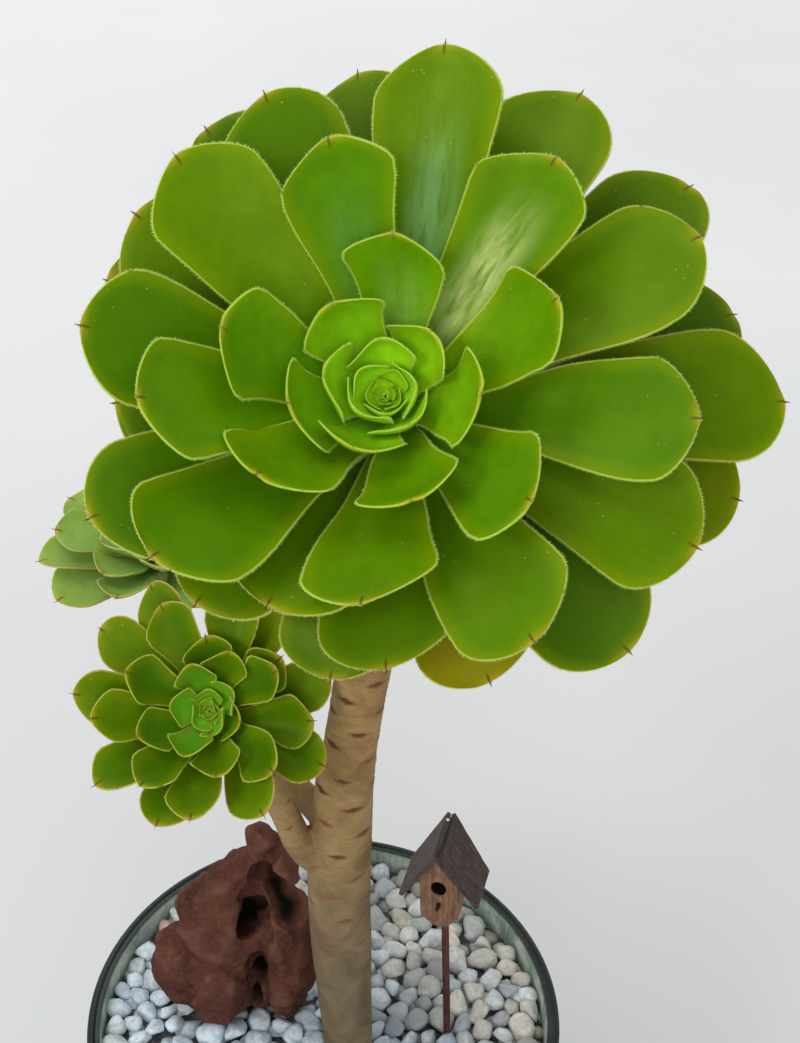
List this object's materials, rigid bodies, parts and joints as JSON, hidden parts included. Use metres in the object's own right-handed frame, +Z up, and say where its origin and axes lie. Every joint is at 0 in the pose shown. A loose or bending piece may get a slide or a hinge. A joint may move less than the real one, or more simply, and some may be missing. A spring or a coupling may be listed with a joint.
{
  "type": "potted aeonium",
  "caption": "Tree aeonium with a large leaf rosette on a woody stem and small rosettes on side branches, in a round pot of pebbles with a rock and a birdhouse pick.",
  "frame": {"origin": "centre of the flat underside of the pot", "axes": "+Z up from the pot to the plant's top, +X to the right and +Y away from the side that the large rosette leans towards"},
  "size_m": [0.2902, 0.2544, 0.6779],
  "materials": {
    "pot": "gloss",
    "soil": "matte",
    "gravel": "satin",
    "lava_rock": "matte",
    "stem": "matte",
    "leaf": "satin",
    "stick": "matte",
    "house_wood": "matte",
    "roof_wood": "matte"
  },
  "bodies": {
    "root": {"pot": "pot", "soil": "soil", "gravel": "gravel", "lava_rock": "lava_rock", "stem": "stem", "main_rosette": "leaf", "side_rosette_front": "leaf", "side_rosette_back": "leaf", "birdhouse_stick": "stick", "birdhouse_body": "house_wood", "birdhouse_perch": "stick", "birdhouse_roof_left": "roof_wood", "birdhouse_roof_right": "roof_wood"}
  },
  "joints": []
}
